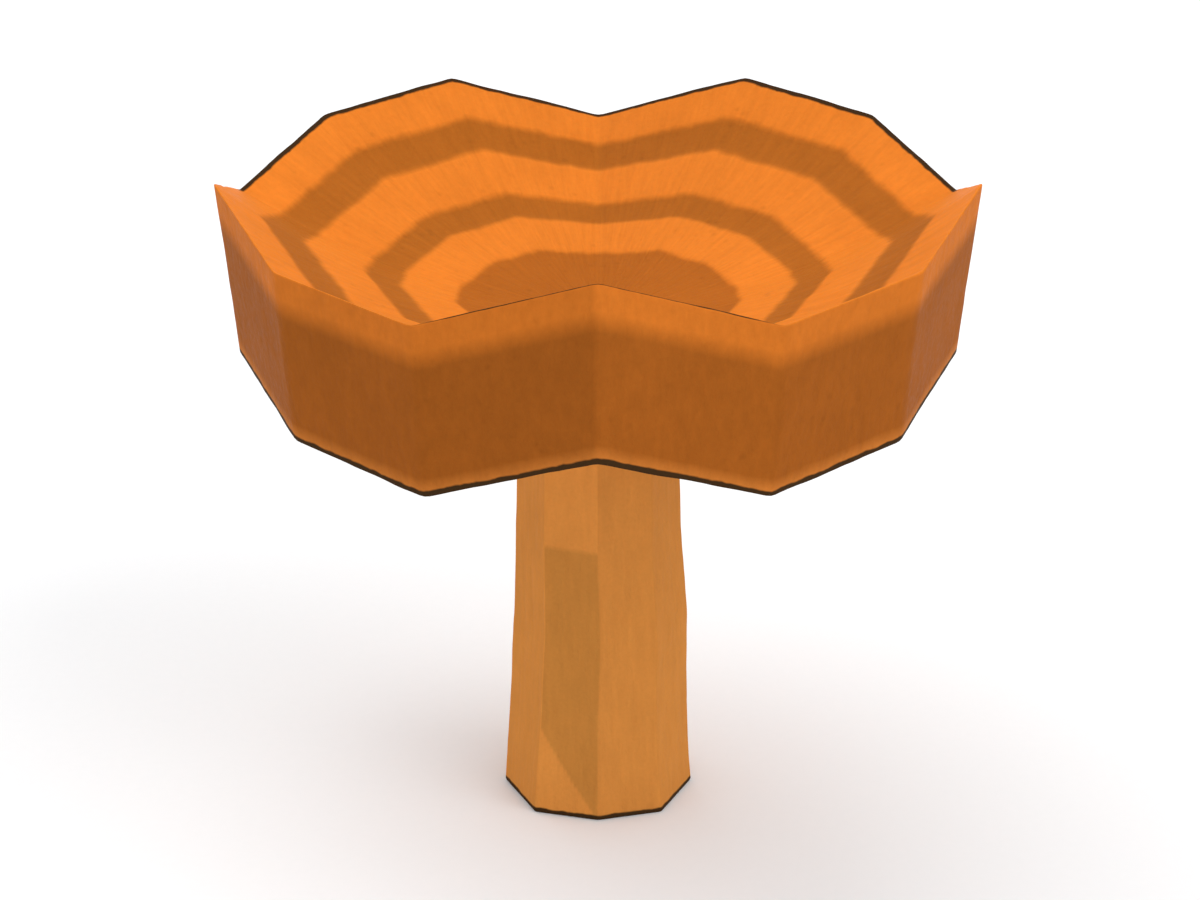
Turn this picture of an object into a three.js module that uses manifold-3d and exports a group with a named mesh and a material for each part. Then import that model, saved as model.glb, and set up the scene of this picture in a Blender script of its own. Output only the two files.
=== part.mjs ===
// Saffron milk cap: one fruiting body, a wavy funnel-shaped cap on a stout stem, grown as one piece.
// Millimetres, +Z up. The origin is the middle of the flat cut at the foot of the stem, on the stem's
// axis, and -Y is the front.
import * as THREE from 'three';
import { mergeVertices } from 'three/addons/utils/BufferGeometryUtils.js';
import Module from 'manifold-3d';

// Cap
const CAP_RADIUS = 45;          // axis to the corners of the rim
const CAP_SIDES = 14;           // straight stretches round the margin
const RIM_HEIGHT = 80.8;        // mean height of the rim above the foot
const DISH_DEPTH = 15.9;        // mean depth of the hollow below the rim
const DISH_RINGS = 8;           // rings of facets from the middle of the hollow to the rim
const MARGIN_DEPTH = 20.6;      // height of the outer wall, rim to lower edge
const MARGIN_INSET = 1.85;      // how far the wall leans in at its lower edge
const WAVE_COUNT = 5;           // lobes round the margin
const WAVE_HEIGHT = 3.9;        // rise of a lobe above the mean rim

// Gills. The solid is filled up to their lower edges, which fall in a curve from the margin to the stem.
const GILL_FALL = 15.7;         // how far the curve would fall from the margin to the axis
const GILL_CURVE = 1.6;         // 1 is a straight slope, more is flatter near the margin
const GILL_RINGS = 6;           // rings of facets under the cap
const GILL_INNER_RADIUS = 9.9;  // where the gills meet the stem

// Stem
const STEM_SIDES = 8;
const STEM_TOP = 56;            // inside the flesh of the cap
// Rings up the stem: how far its eight creases lie from the axis to the sides, on the diagonals,
// and to the front and back, and how far the ring is off to one side.
const STEM_RINGS = [
  { height: 0, side: 12.15, diagonal: 11.5, front: 10.2, lean: 0 },
  { height: 11.9, side: 11.4, diagonal: 10.3, front: 9.7, lean: 0 },
  { height: 24.6, side: 11.0, diagonal: 9.9, front: 9.3, lean: 0.35 },
  { height: 36.8, side: 10.35, diagonal: 9.4, front: 8.95, lean: 0 },
  { height: STEM_TOP, side: 9.7, diagonal: 9.0, front: 8.7, lean: 0 },
];

// One full turn starts at the front, so a corner of the cap and a crease of the stem face -Y.
function angleFromFront(x, y) {
  return Math.atan2(x, -y);
}

// A turned solid with its axis along +Z. The profile starts and ends on the axis.
function turned(profile, sides) {
  const geometry = new THREE.LatheGeometry(profile.map(([r, z]) => new THREE.Vector2(r, z)), sides);
  geometry.rotateX(Math.PI / 2);
  geometry.deleteAttribute('normal');
  geometry.deleteAttribute('uv');
  return mergeVertices(geometry, 1e-4);
}

// Moves every corner of a geometry to where place(x, y, z) says.
function reshape(geometry, place) {
  const position = geometry.attributes.position;
  for (let i = 0; i < position.count; i += 1) {
    position.setXYZ(i, ...place(position.getX(i), position.getY(i), position.getZ(i)));
  }
  return geometry;
}

// The cap: the lower edges of the gills from the stem out, the outer wall, and the dished top.
function capGeometry() {
  const lowerEdge = RIM_HEIGHT - MARGIN_DEPTH;
  const lowerRadius = CAP_RADIUS - MARGIN_INSET;
  const profile = [];
  for (let ring = 0; ring <= GILL_RINGS; ring += 1) {
    const radius = THREE.MathUtils.lerp(GILL_INNER_RADIUS, lowerRadius, ring / GILL_RINGS);
    profile.push([radius, lowerEdge - GILL_FALL * (1 - radius / lowerRadius) ** GILL_CURVE]);
  }
  profile.unshift([0, profile[0][1]]);
  for (let ring = DISH_RINGS; ring >= 0; ring -= 1) {
    const share = ring / DISH_RINGS;
    profile.push([share * CAP_RADIUS, RIM_HEIGHT - DISH_DEPTH * (1 - share * share)]);
  }
  // The waves grow from nothing at the axis to their full height at the rim.
  return reshape(turned(profile, CAP_SIDES), (x, y, z) => {
    const share = Math.hypot(x, y) / CAP_RADIUS;
    return [x, y, z + WAVE_HEIGHT * share * share * Math.cos(WAVE_COUNT * angleFromFront(x, y))];
  });
}

// How far a crease of the stem lies from the axis, in the direction (x, y) of length 1.
function creaseRadius(ring, x, y) {
  if (Math.abs(x) > 0.9) {
    return ring.side;
  }
  return Math.abs(y) > 0.9 ? ring.front : ring.diagonal;
}

// The stem: a column of flat facets, wider left to right than front to back, widest at the foot.
function stemGeometry() {
  const profile = [[0, 0], ...STEM_RINGS.map((ring) => [1, ring.height]), [0, STEM_TOP]];
  return reshape(turned(profile, STEM_SIDES), (x, y, z) => {
    const ring = STEM_RINGS.find(({ height }) => Math.abs(height - z) < 0.01);
    const radius = creaseRadius(ring, x, y);
    return [x * radius + ring.lean, y * radius, z];
  });
}

// Joins two closed geometries into one.
async function joined(first, second) {
  const wasm = await Module();
  wasm.setup();
  const solids = [first, second].map((geometry) => new wasm.Manifold(new wasm.Mesh({
    numProp: 3,
    vertProperties: Float32Array.from(geometry.attributes.position.array),
    triVerts: Uint32Array.from(geometry.index.array),
  })));
  const mesh = solids[0].add(solids[1]).getMesh();
  const geometry = new THREE.BufferGeometry();
  geometry.setAttribute('position', new THREE.BufferAttribute(Float32Array.from(mesh.vertProperties), 3));
  geometry.setIndex(new THREE.BufferAttribute(Uint32Array.from(mesh.triVerts), 1));
  geometry.computeVertexNormals();
  return geometry;
}

const flesh = new THREE.MeshStandardMaterial({
  color: 0xd97a2e,
  roughness: 0.7,
  metalness: 0,
  flatShading: true,
});

const fruitingBody = new THREE.Mesh(await joined(capGeometry(), stemGeometry()), flesh);
fruitingBody.name = 'fruiting_body';

const saffronMilkCap = new THREE.Group();
saffronMilkCap.add(fruitingBody);

export default saffronMilkCap;
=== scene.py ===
"""Saffron milk cap: the looks of one mushroom, standing on the flat cut at the foot of its stem.

Lengths in the constants are millimetres of the CAD model; MM turns them into metres of the frame.
The body and the gills are closed skins on a grid: rows run along an outline, columns run round the
axis. -Y is the front, and angles round the axis start there and turn towards +X.
"""

import math

import bpy
import numpy as np
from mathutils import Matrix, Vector, noise


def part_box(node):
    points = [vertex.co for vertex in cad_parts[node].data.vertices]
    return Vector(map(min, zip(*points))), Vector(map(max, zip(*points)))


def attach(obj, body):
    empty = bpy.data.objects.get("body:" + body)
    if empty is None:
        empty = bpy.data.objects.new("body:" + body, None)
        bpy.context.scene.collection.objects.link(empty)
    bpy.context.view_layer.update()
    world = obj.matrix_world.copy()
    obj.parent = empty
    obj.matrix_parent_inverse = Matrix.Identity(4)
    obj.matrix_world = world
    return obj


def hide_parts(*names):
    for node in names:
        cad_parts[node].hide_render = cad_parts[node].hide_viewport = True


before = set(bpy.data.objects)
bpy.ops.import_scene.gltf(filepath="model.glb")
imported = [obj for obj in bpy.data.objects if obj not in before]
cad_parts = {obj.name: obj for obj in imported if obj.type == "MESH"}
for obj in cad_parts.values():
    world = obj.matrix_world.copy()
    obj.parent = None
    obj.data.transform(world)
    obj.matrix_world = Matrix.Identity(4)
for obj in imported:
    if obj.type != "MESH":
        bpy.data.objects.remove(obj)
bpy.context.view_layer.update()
node_low, node_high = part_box("fruiting_body")

# Cap
CAP_RADIUS = 45.0
CAP_SIDES = 14
RIM_HEIGHT = 80.8
DISH_DEPTH = 15.9
MARGIN_DEPTH = 20.6
MARGIN_INSET = 1.85
WAVE_COUNT = 5
WAVE_HEIGHT = 3.9
RIM_ROUNDING = 0.1

# Gills: their lower edges fall from the margin to the stem, and they hang from a root surface.
GILL_FALL = 15.7
GILL_CURVE = 1.6
GILL_DEPTH_AT_MARGIN = 0.8
GILL_DEPTH_AT_STEM = 4.4
GILL_OUTER_RADIUS = 42.6
GILL_INNER_RADIUS = 8.0
GILL_HALF_THICKNESS = 0.17
GILL_FLANK = 0.24
FULL_GILLS = 60
SHORT_GILLS = ((60, 16.0), (120, 29.0))   # how many, and the mean radius where they start
GILL_STAGGER = 2.6                        # how far a start may lie from that mean
STAGGER_STEP = 2.4                        # radians of the sine that sets each start, gill to gill
GILL_FADE_IN = 3.5                        # a short gill rises to its full depth over this distance

# Stem: rings of eight creases. Height, and the creases' distance from the axis to the sides, on the
# diagonals, and to the front and back, and how far the ring is off to one side.
STEM_SIDES = 8
STEM_RINGS = (
    (0.0, 12.15, 11.5, 10.2, 0.0),
    (11.9, 11.4, 10.3, 9.7, 0.0),
    (24.6, 11.0, 9.9, 9.3, 0.35),
    (36.8, 10.35, 9.4, 8.95, 0.0),
    (56.0, 9.7, 9.0, 8.7, 0.0),
)
STEM_TOP = 54.6

# Rows of the grids, on each stretch of the outline in turn and along the gills
DISH_ROWS = 68
RIM_ROWS = 6
WALL_ROWS = 34
LOWER_EDGE_ROWS = 5
UNDER_ROWS = 16
STEM_ROWS = 76
FOOT_ROWS = 11          # 1 mm apart
GILL_ROWS = 30

# Small distances on the outline
DISH_END = 0.8          # the plain rows of the dish stop this far inside the rim
LOWER_ROUNDING = 0.25
LIP = (1.0, 0.05)       # under the lower edge: how far the lip runs inwards, and how far it rises
UNDER_RADII = (CAP_RADIUS - MARGIN_INSET - 1.4, 10.2)
ABOVE_ROOTS = 0.3       # the flesh lies this far above the roots of the gills
GILLS_CLOSE = 0.9       # the piece with the gills is closed this far above their roots
STEM_FOOT = 0.35        # the plain rows of the stem stop this far above the cut
FOOT_BEVEL = ((0.12, 0.1), (0.35, 0.0))

# Relief of the surface
FIBRILS = 0.05
UNEVENNESS = 0.10
ZONE_SINK = 0.14        # how much lower the dark zones lie
STEM_FIBRILS = 0.07
STEM_UNEVENNESS = 0.06
PITH = (0.22, 0.12)     # how far the pith in the cut lies above the foot, and the height of its grain
GILL_SWAY = 0.28

# The camera's place, in radii of the cap
CAMERA_ELEVATION = math.radians(23.25)
CAMERA_DISTANCE = 6.995
AIM_HEIGHT = 1.0416
AIM_RIGHT = 0.005
VIEW_HEIGHT = math.radians(20)
PICTURE_SHAPE = 4 / 3   # width over height
FLOOR_RADIUS = 60       # in radii of the cap

COLUMNS = 56 * 8        # a multiple of both 14 and 8, so that creases fall on columns
CAP_CREASE_REACH = 1    # how many columns each way a crease is softened over
STEM_CREASE_REACH = 2
GILL_COLUMNS = 6 * (FULL_GILLS + sum(count for count, _ in SHORT_GILLS))

cap_radius = (node_high.y - node_low.y) / 2
MM = cap_radius / CAP_RADIUS


def smoothstep(low, high, x):
    t = np.clip((np.asarray(x, float) - low) / (high - low), 0, 1)
    return t * t * (3 - 2 * t)


def turns(count):
    """Angles of evenly spaced corners or columns, counted from the front."""
    return np.arange(count) * 2 * math.pi / count


def fractal(points, scale, octaves=3):
    """Smooth noise from about -1 to 1 at each point; scale is the size of its largest bumps."""
    return np.array([noise.fractal(Vector(p) / scale, 1.0, 2.0, octaves) for p in points])


# ---------------------------------------------------------------- outlines


def dish_height(radius):
    return RIM_HEIGHT - DISH_DEPTH * (1 - (radius / CAP_RADIUS) ** 2)


def gill_edge_height(radius):
    lower_radius = CAP_RADIUS - MARGIN_INSET
    fall = np.clip(1 - np.asarray(radius, float) / lower_radius, 0, 1) ** GILL_CURVE
    return RIM_HEIGHT - MARGIN_DEPTH - GILL_FALL * fall


def gill_depth(radius):
    inward = np.clip((GILL_OUTER_RADIUS - radius) / (GILL_OUTER_RADIUS - GILL_INNER_RADIUS), 0, 1)
    return GILL_DEPTH_AT_MARGIN + (GILL_DEPTH_AT_STEM - GILL_DEPTH_AT_MARGIN) * (1 - (1 - inward) ** 2)


def rounded_corner(before, corner, after, radius, steps):
    """Points of an arc that rounds the corner between two straight stretches of an outline."""
    before, corner, after = (np.array(p, float) for p in (before, corner, after))
    back = (before - corner) / np.linalg.norm(before - corner)
    ahead = (after - corner) / np.linalg.norm(after - corner)
    half_angle = math.acos(np.clip(back @ ahead, -1, 1)) / 2
    reach = radius / math.tan(half_angle)
    bisector = (back + ahead) / np.linalg.norm(back + ahead)
    centre = corner + bisector * radius / math.sin(half_angle)
    start, end = corner + back * reach - centre, corner + ahead * reach - centre
    turn = math.acos(np.clip(start @ end / radius**2, -1, 1))
    points = []
    for t in np.linspace(0, 1, steps):
        a, b = math.sin((1 - t) * turn) / math.sin(turn), math.sin(t * turn) / math.sin(turn)
        points.append(centre + a * start + b * end)
    return points


class Outline:
    """Points from the middle of the dish over the rim, down the wall, under the cap and down the stem."""

    def __init__(self):
        self.points = []
        # 0 to 1 from the middle to the rim, then to 2 down the wall, to 3 under the cap, to 4 down
        # the stem and to 5 across the cut at its foot
        self.rings = []
        self.parts = []

    def add(self, points, rings, part):
        self.points += [tuple(p) for p in points]
        self.rings += list(rings)
        self.parts += [part] * len(points)


def body_outline():
    lower_radius = CAP_RADIUS - MARGIN_INSET
    rim = (CAP_RADIUS, RIM_HEIGHT)
    lower = (lower_radius, RIM_HEIGHT - MARGIN_DEPTH)
    inside = (lower_radius - LIP[0], RIM_HEIGHT - MARGIN_DEPTH + LIP[1])
    outline = Outline()

    dish = np.linspace(0, CAP_RADIUS - DISH_END, DISH_ROWS)
    outline.add([(r, dish_height(r)) for r in dish], dish / CAP_RADIUS, "dish")

    before = (CAP_RADIUS - 1, dish_height(CAP_RADIUS - 1))
    corner = rounded_corner(before, rim, lower, RIM_ROUNDING, RIM_ROWS)
    outline.add(corner, np.linspace(0.9955, 1.010, RIM_ROWS), "dish")

    wall = np.linspace(0.05, 0.975, WALL_ROWS)
    outline.add([(np.interp(t, (0, 1), (rim[0], lower[0])), RIM_HEIGHT - MARGIN_DEPTH * t)
                 for t in wall], 1 + wall, "wall")
    corner = rounded_corner(rim, lower, inside, LOWER_ROUNDING, LOWER_EDGE_ROWS)
    outline.add(corner, np.linspace(1.985, 2.0, LOWER_EDGE_ROWS), "wall")
    outline.add([inside], [2.05], "wall")

    # Under the cap the flesh lies just above the roots of the gills.
    under = np.linspace(*UNDER_RADII, UNDER_ROWS)
    roots = gill_edge_height(under) + gill_depth(under) + ABOVE_ROOTS
    outline.add(list(zip(under, roots)), np.linspace(2.1, 3, UNDER_ROWS), "under")

    # On the stem and the foot the first number is how far inside the facets of the stem a ring lies.
    heights = np.linspace(STEM_TOP, STEM_FOOT, STEM_ROWS)
    outline.add([(0.0, z) for z in heights], 3 + (1 - heights / STEM_TOP), "stem")
    outline.add(FOOT_BEVEL, [4.0] * len(FOOT_BEVEL), "stem")
    foot = np.arange(1.0, FOOT_ROWS + 1.0)
    outline.add([(inset, 0.0) for inset in foot], 4 + foot / (FOOT_ROWS + 1), "foot")
    return outline


# ---------------------------------------------------------------- grids


def round_creases(points, reach):
    """Softens the creases that run across the columns, by averaging each row over its neighbours."""
    kernel = np.hanning(2 * reach + 3)[1:-1]
    kernel /= kernel.sum()
    return sum(w * np.roll(points, shift, axis=-2)
               for w, shift in zip(kernel, range(-reach, reach + 1)))


def corner_mix(sides, columns):
    """For each column: the corner before it, the corner after it, and how far between them it is."""
    place = np.arange(columns) * sides / columns
    before = np.floor(place).astype(int)
    return before, (before + 1) % sides, (place - before)[:, None]


def cap_row(radius, height, columns):
    """One ring of the cap: straight between fourteen corners, which rise and fall with the waves."""
    angles = turns(CAP_SIDES)
    wave = WAVE_HEIGHT * (radius / CAP_RADIUS) ** 2 * np.cos(WAVE_COUNT * angles)
    corners = np.stack([radius * np.sin(angles), -radius * np.cos(angles), height + wave], axis=1)
    before, after, mix = corner_mix(CAP_SIDES, columns)
    return corners[before] * (1 - mix) + corners[after] * mix


def stem_row(height, columns, inset=0.0):
    """One ring of the stem: straight between eight creases."""
    heights = [ring[0] for ring in STEM_RINGS]
    side, diagonal, front, lean = (np.interp(height, heights, [ring[i] for ring in STEM_RINGS])
                                   for i in (1, 2, 3, 4))
    angles = turns(STEM_SIDES)
    radii = np.array([front, diagonal, side, diagonal] * 2)
    radii *= 1 - inset / side
    corners = np.stack([radii * np.sin(angles) + lean, -radii * np.cos(angles),
                        np.full(STEM_SIDES, height)], axis=1)
    before, after, mix = corner_mix(STEM_SIDES, columns)
    return corners[before] * (1 - mix) + corners[after] * mix


def grid_normals(points):
    """Outward directions at the points of a grid of rows and columns."""
    around = np.roll(points, -1, axis=1) - np.roll(points, 1, axis=1)
    along = np.gradient(points, axis=0)
    normal = np.cross(along, around)
    length = np.linalg.norm(normal, axis=-1, keepdims=True)
    return normal / np.maximum(length, 1e-9)


def skin_object(name, points, closed_ends):
    """A closed mesh from a grid. The first and last rows close to a point, or on each other."""
    rows, columns = points.shape[:2]
    faces = []
    for row in range(rows - 1):
        for column in range(columns):
            ahead = (column + 1) % columns
            faces.append((row * columns + column, (row + 1) * columns + column,
                          (row + 1) * columns + ahead, row * columns + ahead))
    vertices = points.reshape(-1, 3)
    last = (rows - 1) * columns
    if closed_ends:
        top, bottom = len(vertices), len(vertices) + 1
        vertices = np.vstack([vertices, points[0].mean(axis=0), points[-1].mean(axis=0)])
        for column in range(columns):
            ahead = (column + 1) % columns
            faces.append((column, ahead, top))
            faces.append((last + ahead, last + column, bottom))
    else:
        for column in range(columns):
            ahead = (column + 1) % columns
            faces.append((last + column, column, ahead, last + ahead))
    mesh = bpy.data.meshes.new(name)
    mesh.from_pydata((vertices * MM).tolist(), [], faces)
    mesh.shade_smooth()
    piece = bpy.data.objects.new(name, mesh)
    bpy.context.scene.collection.objects.link(piece)
    return piece


def set_values(piece, name, values):
    """Stores one number at each vertex, for the materials to read."""
    attribute = piece.data.attributes.new(name, "FLOAT", "POINT")
    filled = np.zeros(len(piece.data.vertices), np.float32)
    filled[: len(values)] = values
    if len(values) < len(filled):
        filled[len(values):] = values[0], values[-1]
    attribute.data.foreach_set("value", filled)


# ---------------------------------------------------------------- the body


ZONE_EDGES = (0.383, 0.531, 0.622, 0.775, 0.880)   # dark inside the first, then light, dark, ...
LIGHT_ON_WALL = 1.207                               # the light rim zone ends this far down the wall

# Painted shade: how light each flat is painted, standing in for light and shade on the flats. The dish
# has a mean, a gain towards both sides and a lean towards +X. The flats of the wall and of the stem are
# counted from the front towards +X, and the stem has painted light above.
DISH_PAINTED_SHADE = (1.02, 0.08, 0.035)
PAINTED_LIGHT_UNDER_CAP = 0.11
WALL_PAINTED_SHADES = (1.12, 1.04, 1.00, 1.00, 1.02, 1.00, 0.98, 1.02, 1.00, 0.98, 1.00, 1.02, 1.02, 1.00)
STEM_PAINTED_SHADES = (0.97, 0.90, 0.94, 0.98, 0.97, 0.96, 1.02, 1.12)

# How softly the zones begin and end, in the relief and in the colour, as ring values
RELIEF_SOFTNESS = 0.01
COLOUR_SOFTNESS = 0.009
WALL_LIGHT_SOFTNESS = 0.057


def darkness(ring):
    """1 in the dark zones of the cap, 0 in the light ones."""
    disc, *bands = (smoothstep(edge - RELIEF_SOFTNESS, edge + RELIEF_SOFTNESS, ring)
                    for edge in ZONE_EDGES)
    dark = 1 - disc
    for start, end in (bands[:2], bands[2:]):
        dark += start
        dark -= end
    return dark


def painted_facet_shade(ring):
    """Painted light and shade: how light each flat of the body is painted against its neighbours; a
    flat's first crease is its own.
    """
    angle = turns(COLUMNS)
    mean, sides, lean = DISH_PAINTED_SHADE
    dish = mean + sides * np.sin(angle) ** 2 + lean * np.sin(angle)
    wall = np.array(WALL_PAINTED_SHADES)[corner_mix(CAP_SIDES, COLUMNS)[0]]
    stem = np.array(STEM_PAINTED_SHADES)[corner_mix(STEM_SIDES, COLUMNS)[0]]
    # Painted light on the top of the stem, against the shadow the cap casts there.
    stem = stem * (1 + PAINTED_LIGHT_UNDER_CAP * (1 - smoothstep(3.0, 3.5, ring)))
    return np.where(ring < 1.0, dish, np.where(ring < 2.5, wall, stem))


def painted_outline_share(ring):
    """How dark the thin painted outline is: the rim's comes and goes round the cap, the others are whole.
    """
    angle = np.degrees(turns(COLUMNS))
    off_front = np.minimum(angle, 360 - angle)
    bare_from, bare_to = RIM_WITHOUT_OUTLINE
    soft = 3
    bare = smoothstep(bare_from - soft, bare_from + soft, off_front)
    bare *= 1 - smoothstep(bare_to - soft, bare_to + soft, off_front)
    return np.where(ring < 1.5, 1 - bare, 1.0)


def make_body():
    outline = body_outline()
    rows = []
    for (radius, height), part in zip(outline.points, outline.parts):
        if part in ("stem", "foot"):
            row = round_creases(stem_row(height, COLUMNS, radius), STEM_CREASE_REACH)
        else:
            row = round_creases(cap_row(max(radius, 0.05), height, COLUMNS), CAP_CREASE_REACH)
        rows.append(row)
    points = np.array(rows)
    ring = np.repeat(np.array(outline.rings)[:, None], COLUMNS, axis=1)

    # Fine relief: the dark zones lie a little lower, the skin has faint fibrils running outwards on
    # the cap and up the stem, and the flesh is gently uneven.
    flat = points.reshape(-1, 3)
    unit = flat[:, :2] / np.maximum(np.linalg.norm(flat[:, :2], axis=1, keepdims=True), 1e-6)
    run = np.column_stack([unit * 11, ring.reshape(-1) * 3])
    fibrils = fractal(run, 1.0, 3) * smoothstep(1, 7, np.linalg.norm(flat[:, :2], axis=1))
    uneven = fractal(flat, 9.0, 3)
    on_stem = np.array([part == "stem" for part in outline.parts])
    on_foot = np.array([part == "foot" for part in outline.parts])
    fibrils, uneven = fibrils.reshape(ring.shape), uneven.reshape(ring.shape)
    relief = FIBRILS * fibrils + UNEVENNESS * uneven
    relief -= ZONE_SINK * np.clip(darkness(ring), 0, 1) * (ring < 1)
    stem_run = fractal(flat * (1, 1, 0.16), 1.5, 3).reshape(ring.shape)
    stem_relief = STEM_FIBRILS * stem_run + STEM_UNEVENNESS * uneven
    relief = np.where(on_stem[:, None], stem_relief, relief)
    relief = np.where(on_foot[:, None], 0.0, relief)
    keep_flat = smoothstep(0.0, 0.8, points[..., 2])
    points = points + grid_normals(points) * (relief * keep_flat)[..., None]

    # The pith in the middle of the cut sits a little above the surface it stands on.
    pith_height, grain_height = PITH
    for row in np.nonzero(on_foot)[0]:
        share = smoothstep(4.2, 4.7, ring[row, 0])
        grain = fractal(points[row], 1.1, 3)
        points[row, :, 2] += share * (pith_height + grain_height * grain)

    body = skin_object("fruiting_body_flesh", points, closed_ends=True)
    set_values(body, "ring", ring.reshape(-1))
    set_values(body, "painted_shade_mask", stem_painted_flat_shade(points, ring, on_stem).reshape(-1))
    # Painted shade of each flat, stored for the materials
    set_values(body, "painted_shade", painted_facet_shade(ring).reshape(-1))
    # How dark the painted outline is at each vertex
    set_values(body, "painted_outline_share", painted_outline_share(ring).reshape(-1))
    for material in (cap_skin(), stem_skin(), cut_flesh()):
        body.data.materials.append(material)
    part_index = {"dish": 0, "wall": 0, "under": 0, "stem": 1, "foot": 2}
    index = [part_index[part] for part in outline.parts[1:] for _ in range(COLUMNS)]
    index += [0, 2] * COLUMNS
    body.data.polygons.foreach_set("material_index", index)
    return body


def stem_painted_flat_shade(points, ring, on_stem):
    """1 on the one flat of the stem painted darker as shade, front left, between a crease above and a
    slant below.
    """
    before, _, mix = corner_mix(STEM_SIDES, COLUMNS)
    front_left = (before == STEM_SIDES - 1).astype(float)
    across = mix[:, 0]
    soft = 0.02
    inside = front_left * smoothstep(0, soft, across) * (1 - smoothstep(1 - soft, 1, across))
    height = points[..., 2]
    slant = STEM_RINGS[1][0] * (1 - across)
    top = STEM_RINGS[3][0]
    painted_shade_mask = inside * smoothstep(slant - 0.25, slant + 0.25, height)
    painted_shade_mask *= 1 - smoothstep(top - 0.3, top + 0.3, height)
    return painted_shade_mask * on_stem[:, None]


# ---------------------------------------------------------------- the gills


def gill_gap(angle, radius):
    """0 along the edge of a gill and 1 in the gap between two, at each angle of one ring."""
    gap = np.ones_like(angle)
    for count, offset, start in [(FULL_GILLS, 0.0, 0.0), *((n, 0.5, at) for n, at in SHORT_GILLS)]:
        spacing = 2 * math.pi / count
        place = angle / spacing - offset
        number = np.round(place) % count
        if start:
            begin = start + GILL_STAGGER * np.sin(STAGGER_STEP * number)
            presence = smoothstep(0, GILL_FADE_IN, radius - begin)
        else:
            presence = 1.0
        distance = np.abs(place - np.round(place)) * spacing * radius
        flank = smoothstep(GILL_HALF_THICKNESS, GILL_HALF_THICKNESS + GILL_FLANK, distance)
        gap = np.minimum(gap, 1 - presence * (1 - flank))
    return gap


def make_gills():
    radii = np.linspace(GILL_OUTER_RADIUS, GILL_INNER_RADIUS, GILL_ROWS)
    angle = turns(GILL_COLUMNS)
    rows, gaps = [], []
    for radius in radii:
        row = cap_row(radius, 0.0, GILL_COLUMNS)
        gap = gill_gap(angle, radius)
        row[:, 2] += gill_edge_height(radius) + gap * gill_depth(radius)
        rows.append(row)
        gaps.append(gap)
    for radius in (radii[-1], radii[0]):
        row = cap_row(radius, 0.0, GILL_COLUMNS)
        row[:, 2] += gill_edge_height(radius) + gill_depth(radius) + GILLS_CLOSE
        rows.append(row)
        gaps.append(np.ones(GILL_COLUMNS))
    points = np.array(rows)

    # The gills waver a little sideways on their way to the stem.
    centre_line = np.column_stack([np.sin(angle), np.cos(angle)])
    for index, row in enumerate(points):
        radius = np.hypot(row[:, 0], row[:, 1])
        place = np.column_stack([centre_line * 5, np.full(GILL_COLUMNS, radius.mean() / 7)])
        sway = GILL_SWAY * fractal(place, 1.0, 2) / radius
        x, y = row[:, 0].copy(), row[:, 1].copy()
        points[index, :, 0] = x * np.cos(sway) - y * np.sin(sway)
        points[index, :, 1] = x * np.sin(sway) + y * np.cos(sway)

    gills = skin_object("gills", points, closed_ends=False)
    set_values(gills, "gap", np.array(gaps).reshape(-1))
    gills.data.materials.append(gill_flesh())
    return gills


# ---------------------------------------------------------------- materials


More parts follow.
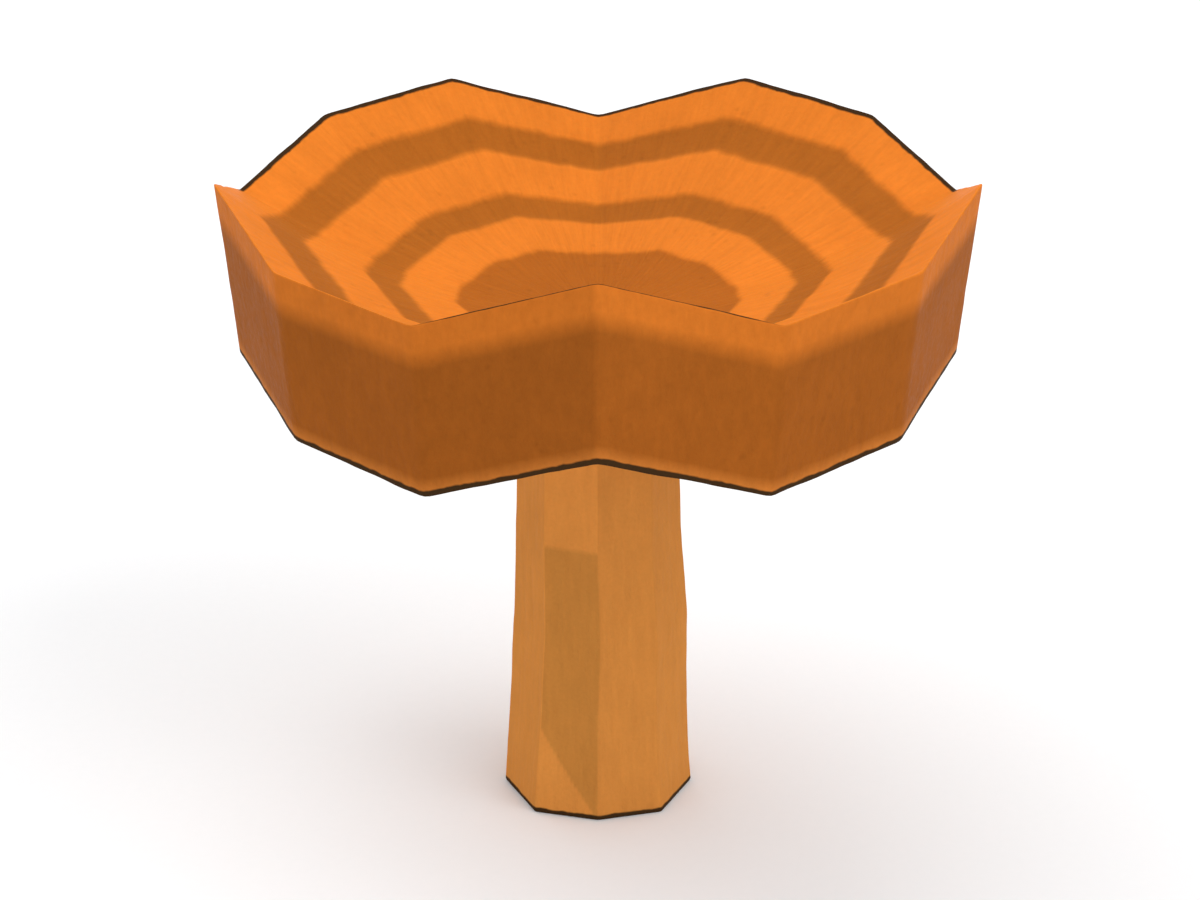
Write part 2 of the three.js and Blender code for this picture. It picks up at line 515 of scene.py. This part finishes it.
class Nodes:
    """A short way to write a material's nodes."""

    def __init__(self, name, **surface):
        self.material = bpy.data.materials.new(name)
        self.material.use_nodes = True
        self.tree = self.material.node_tree
        self.shader = self.tree.nodes["Principled BSDF"]
        for socket, value in surface.items():
            self.shader.inputs[socket.replace("_", " ")].default_value = value

    def add(self, kind, inputs=(), **settings):
        node = self.tree.nodes.new(kind)
        for key, value in settings.items():
            setattr(node, key, value)
        for socket, value in dict(inputs).items():
            if isinstance(value, bpy.types.NodeSocket):
                self.tree.links.new(value, node.inputs[socket])
            else:
                node.inputs[socket].default_value = value
        return node

    def link(self, output, socket):
        self.tree.links.new(output, self.shader.inputs[socket])

    def attribute(self, name):
        return self.add("ShaderNodeAttribute", attribute_name=name).outputs["Fac"]

    def place(self, scale=(1, 1, 1)):
        """The point on the object, in millimetres of the CAD model, times scale."""
        where = self.add("ShaderNodeTexCoord").outputs["Object"]
        factor = tuple(s / MM for s in scale)
        return self.add("ShaderNodeVectorMath", {0: where, 1: factor}, operation="MULTIPLY").outputs[0]

    def outward(self, around, along):
        """A place for streaks that run outwards and down the wall: around, then along the ring value."""
        where = self.place((1, 1, 0))
        unit = self.add("ShaderNodeVectorMath", {0: where}, operation="NORMALIZE").outputs[0]
        wide = self.add("ShaderNodeVectorMath", {0: unit, "Scale": around}, operation="SCALE").outputs[0]
        ring = self.math("MULTIPLY", self.attribute("ring"), along)
        lift = self.add("ShaderNodeCombineXYZ", {"Z": ring}).outputs[0]
        return self.add("ShaderNodeVectorMath", {0: wide, 1: lift}, operation="ADD").outputs[0]

    def math(self, operation, a, b=0.0):
        return self.add("ShaderNodeMath", {0: a, 1: b}, operation=operation).outputs[0]

    def noise(self, where, scale, detail=3.0, roughness=0.55):
        return self.add("ShaderNodeTexNoise", {"Vector": where, "Scale": scale, "Detail": detail,
                                               "Roughness": roughness}).outputs["Fac"]

    def spread(self, value, low, high, start=0.3, end=0.7):
        """Maps a noise value, which stays near the middle, to low..high."""
        return self.add("ShaderNodeMapRange", {0: value, 1: start, 2: end, 3: low, 4: high}).outputs[0]

    def ramp(self, value, stops):
        node = self.add("ShaderNodeValToRGB", {"Fac": value})
        elements = node.color_ramp.elements
        for index, (position, colour) in enumerate(stops):
            element = elements[index] if index < 2 else elements.new(position)
            element.position = position
            element.color = (*colour, 1)
        return node.outputs["Color"]

    def mix(self, factor, a, b, blend="MIX"):
        node = self.add("ShaderNodeMix", {"Factor": factor}, data_type="RGBA", blend_type=blend)
        for socket, value in ((6, a), (7, b)):
            if isinstance(value, bpy.types.NodeSocket):
                self.tree.links.new(value, node.inputs[socket])
            else:
                node.inputs[socket].default_value = (*value, 1)
        return node.outputs[2]

    def line(self, centre, half_width, soft):
        """1 along a thin dark line where the ring value is centre, fading out over soft on each side."""
        waver = self.spread(self.noise(self.place(), 0.5, 2), -0.15 * half_width, 0.15 * half_width)
        off_centre = self.math("SUBTRACT", self.math("ADD", self.attribute("ring"), waver), centre)
        distance = self.math("ABSOLUTE", off_centre)
        return self.spread(distance, 1.0, 0.0, half_width - soft, half_width + soft)

    def shade(self, colour, amount):
        """Multiplies a colour by a number."""
        node = self.add("ShaderNodeVectorMath", {0: colour, "Scale": amount}, operation="SCALE")
        return node.outputs[0]

    def bump(self, *layers):
        """Stacks bumps: each layer is a height and its depth in millimetres."""
        normal = None
        for height, depth in layers:
            inputs = {"Height": height, "Distance": depth * MM, "Strength": 1.0}
            if normal is not None:
                inputs["Normal"] = normal
            normal = self.add("ShaderNodeBump", inputs).outputs[0]
        self.link(normal, "Normal")


LIGHT_ORANGE = (0.675, 0.187, 0.0200)
DARK_ORANGE = (0.375, 0.109, 0.0120)
DISC_ORANGE = (0.388, 0.107, 0.0115)
# On the wall the cap's light and dark orange are darkened: the cap's own zones, with painted shade for
# the wall facing sideways.
RIM_ON_WALL_WITH_PAINTED_SHADE = (0.518, 0.140, 0.0160)
WALL_BROWN_WITH_PAINTED_SHADE = (0.297, 0.082, 0.0100)
LOWER_EDGE = (0.480, 0.150, 0.0250)
STEM_TAN = (0.590, 0.228, 0.0460)
# painted shade on one flat of the stem
STEM_PAINTED_SHADE = (0.465, 0.187, 0.0370)
GILL_APRICOT = (0.640, 0.250, 0.0700)
# painted shade deep in the gaps between the gills
GILL_PAINTED_SHADE_IN_GAPS = (0.480, 0.150, 0.0300)
CUT_PITH = (0.760, 0.480, 0.2200)
CUT_RING = (0.700, 0.220, 0.0350)
PAINTED_OUTLINE_COLOUR = (0.045, 0.022, 0.0080)

# Thin dark painted outlines: ring value, half width and softness. The rim's is missing
# between two angles from the front, in degrees, on each side.
RIM_WITHOUT_OUTLINE = (24, 100)
RIM_LINE = (0.9965, 0.0105, 0.002)
LOWER_LINE = (2.0, 0.036, 0.005)
FOOT_LINE = (4.0, 0.014, 0.002)


def zone_stops():
    """The cap's colours from the middle of the dish (0) to the lower edge of the wall (2), halved."""
    stops = [(0.0, DISC_ORANGE)]
    colours = [DISC_ORANGE, LIGHT_ORANGE, DARK_ORANGE, LIGHT_ORANGE, DARK_ORANGE, LIGHT_ORANGE]
    for edge, inner, outer in zip(ZONE_EDGES, colours, colours[1:]):
        stops += [(edge - COLOUR_SOFTNESS, inner), (edge + COLOUR_SOFTNESS, outer)]
    # Down the wall the zone colours carry painted shade.
    stops += [(1.0, LIGHT_ORANGE), (1.012, RIM_ON_WALL_WITH_PAINTED_SHADE),
              (LIGHT_ON_WALL - WALL_LIGHT_SOFTNESS, RIM_ON_WALL_WITH_PAINTED_SHADE),
              (LIGHT_ON_WALL + WALL_LIGHT_SOFTNESS, WALL_BROWN_WITH_PAINTED_SHADE),
              (1.89, WALL_BROWN_WITH_PAINTED_SHADE), (1.97, LOWER_EDGE)]
    return [(position / 2, colour) for position, colour in stops]


def cap_skin():
    n = Nodes("cap_skin", Specular_IOR_Level=0.015, Subsurface_Weight=0.06,
              Subsurface_Scale=1.2 * MM, Subsurface_Radius=(1.0, 0.45, 0.2))
    ring = n.attribute("ring")
    waver = n.spread(n.noise(n.place(), 0.35, 2), -0.004, 0.004)
    zones = n.ramp(n.math("MULTIPLY", n.math("ADD", ring, waver), 0.5), zone_stops())

    fibrils = n.noise(n.outward(26, 5), 1.6, 4, 0.6)
    clouds = n.noise(n.place(), 0.12, 3)
    grain = n.noise(n.place(), 1.4, 4)
    shade = n.math("MULTIPLY", n.spread(fibrils, 0.94, 1.06), n.spread(clouds, 0.965, 1.035))
    # The painted shade of the flats makes the colour lighter or darker.
    shade = n.math("MULTIPLY", shade, n.attribute("painted_shade"))
    colour = n.shade(zones, n.math("MULTIPLY", shade, n.spread(grain, 0.97, 1.03)))

    # Small darker drops, as the milk leaves on this species, mostly in the dark zones.
    drops = n.add("ShaderNodeTexVoronoi", {"Vector": n.place(), "Scale": 0.55, "Randomness": 1.0})
    drop = n.spread(drops.outputs["Distance"], 0.5, 0.0, 0.08, 0.30)
    sparse = n.spread(n.noise(n.place(), 0.22, 2), 0.0, 1.0, 0.5, 0.62)
    colour = n.mix(n.math("MULTIPLY", drop, sparse), colour, n.shade(colour, 0.80))
    for line in (RIM_LINE, LOWER_LINE):
        # Painted dark outlines along the rim and the lower edge.
        colour = n.mix(n.math("MULTIPLY", n.line(*line), n.attribute("painted_outline_share")), colour, PAINTED_OUTLINE_COLOUR)
    n.link(colour, "Base Color")
    n.link(n.spread(grain, 0.42, 0.6), "Roughness")
    n.bump((fibrils, 0.10), (grain, 0.06), (n.noise(n.place(), 5.0, 3), 0.02))
    return n.material


def stem_skin():
    n = Nodes("stem_skin", Specular_IOR_Level=0.02, Subsurface_Weight=0.06,
              Subsurface_Scale=1.2 * MM, Subsurface_Radius=(1.0, 0.5, 0.25))
    painted_shade_mask = n.attribute("painted_shade_mask")
    # Painted shade: one flat of the stem is coloured darker.
    base = n.mix(painted_shade_mask, STEM_TAN, STEM_PAINTED_SHADE)
    fibrils = n.noise(n.place((1, 1, 0.16)), 1.1, 3, 0.55)
    clouds = n.noise(n.place((1, 1, 0.6)), 0.2, 3)
    grain = n.noise(n.place(), 2.2, 3)
    shade = n.math("MULTIPLY", n.spread(fibrils, 0.965, 1.035), n.spread(clouds, 0.965, 1.035))
    # The painted shade of the flats makes the colour lighter or darker.
    shade = n.math("MULTIPLY", shade, n.attribute("painted_shade"))
    colour = n.shade(base, n.math("MULTIPLY", shade, n.spread(grain, 0.97, 1.03)))
    # Painted dark outline along the foot.
    colour = n.mix(n.line(*FOOT_LINE), colour, PAINTED_OUTLINE_COLOUR)
    n.link(colour, "Base Color")
    n.link(n.spread(grain, 0.55, 0.72), "Roughness")
    n.bump((fibrils, 0.12), (grain, 0.05))
    return n.material


def cut_flesh():
    n = Nodes("cut_flesh", Specular_IOR_Level=0.04, Subsurface_Weight=0.1,
              Subsurface_Scale=1.5 * MM, Subsurface_Radius=(1.0, 0.6, 0.3))
    ring = n.math("ADD", n.attribute("ring"), n.spread(n.noise(n.place(), 0.8, 3), -0.05, 0.05))
    across = n.math("SUBTRACT", ring, 4.0)
    base = n.ramp(across, [(0.0, STEM_TAN), (0.12, CUT_RING), (0.30, CUT_RING), (0.48, CUT_PITH)])
    grain = n.noise(n.place(), 2.5, 4, 0.65)
    n.link(n.shade(base, n.spread(grain, 0.9, 1.08)), "Base Color")
    n.link(n.spread(grain, 0.6, 0.8), "Roughness")
    n.bump((grain, 0.12))
    return n.material


def gill_flesh():
    n = Nodes("gill_flesh", Specular_IOR_Level=0.04, Subsurface_Weight=0.12,
              Subsurface_Scale=1.0 * MM, Subsurface_Radius=(1.0, 0.45, 0.2))
    # Painted shade: the gaps between the gills are coloured darker.
    base = n.mix(n.attribute("gap"), GILL_APRICOT, GILL_PAINTED_SHADE_IN_GAPS)
    clouds = n.noise(n.place(), 0.15, 3)
    grain = n.noise(n.place(), 3.0, 3)
    shade = n.math("MULTIPLY", n.spread(clouds, 0.93, 1.07), n.spread(grain, 0.97, 1.03))
    n.link(n.shade(base, shade), "Base Color")
    n.link(n.spread(grain, 0.58, 0.75), "Roughness")
    n.bump((grain, 0.04))
    return n.material


def floor_paper():
    n = Nodes("floor_paper", Roughness=0.9, Specular_IOR_Level=0.1)
    fibre = n.noise(n.place(), 0.8, 3)
    n.link(n.mix(fibre, (0.865, 0.875, 0.885), (0.885, 0.895, 0.905)), "Base Color")

    # Seen from below the floor is clear, so that the underside can be looked at.
    below = n.add("ShaderNodeNewGeometry").outputs["Backfacing"]
    clear = n.add("ShaderNodeBsdfTransparent").outputs[0]
    both = n.add("ShaderNodeMixShader", {0: below, 1: n.shader.outputs[0], 2: clear}).outputs[0]
    n.tree.links.new(both, n.tree.nodes["Material Output"].inputs["Surface"])
    return n.material


# ---------------------------------------------------------------- the studio


def make_floor():
    """A wide floor, open just inside the edge of the foot so that light from below reaches the cut."""
    mesh = bpy.data.meshes.new("floor")
    hole = stem_row(0.0, STEM_SIDES, inset=1.0) * MM
    edge = hole / np.linalg.norm(hole, axis=1, keepdims=True) * FLOOR_RADIUS * cap_radius
    faces = [(i, i + STEM_SIDES, (i + 1) % STEM_SIDES + STEM_SIDES, (i + 1) % STEM_SIDES)
             for i in range(STEM_SIDES)]
    mesh.from_pydata(np.vstack([hole, edge]).tolist(), [], faces)
    mesh.materials.append(floor_paper())
    floor = bpy.data.objects.new("floor", mesh)
    bpy.context.scene.collection.objects.link(floor)


def add_sun(name, strength, softness, towards):
    """A broad soft light from far away; towards points from the mushroom to the light."""
    sun = bpy.data.lights.new(name, "SUN")
    sun.energy = strength
    sun.angle = math.radians(softness)
    lamp = bpy.data.objects.new(name, sun)
    lamp.rotation_euler = Vector(towards).to_track_quat("Z", "Y").to_euler()
    bpy.context.scene.collection.objects.link(lamp)


SKY_STRENGTH = 0.85
SUNS = (   # name, strength, softness in degrees, and the way from the mushroom to the light
    ("key", 1.0, 45, (1.0, -0.6, 0.9)),
    ("top", 0.9, 60, (-0.35, 0.35, 1.0)),
)


def make_light():
    world = bpy.data.worlds.new("studio")
    world.use_nodes = True
    world.node_tree.nodes["Background"].inputs["Color"].default_value = (1, 1, 1, 1)
    world.node_tree.nodes["Background"].inputs["Strength"].default_value = SKY_STRENGTH
    bpy.context.scene.world = world
    for sun in SUNS:
        add_sun(*sun)
    bpy.context.scene.view_settings.view_transform = "Standard"


def make_camera():
    data = bpy.data.cameras.new("camera")
    data.angle = 2 * math.atan(math.tan(VIEW_HEIGHT / 2) * PICTURE_SHAPE)
    camera = bpy.data.objects.new("camera", data)
    aim = Vector((AIM_RIGHT, 0, AIM_HEIGHT)) * cap_radius
    back = Vector((0, -math.cos(CAMERA_ELEVATION), math.sin(CAMERA_ELEVATION)))
    camera.location = aim + back * CAMERA_DISTANCE * cap_radius
    camera.rotation_euler = back.to_track_quat("Z", "Y").to_euler()
    data.clip_start = 0.1 * cap_radius
    data.clip_end = 200 * cap_radius
    bpy.context.scene.collection.objects.link(camera)
    bpy.context.scene.camera = camera


make_camera()
make_light()
make_floor()

body = make_body()
gills = make_gills()
for piece in (body, gills):
    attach(piece, "root")
    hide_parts("fruiting_body")
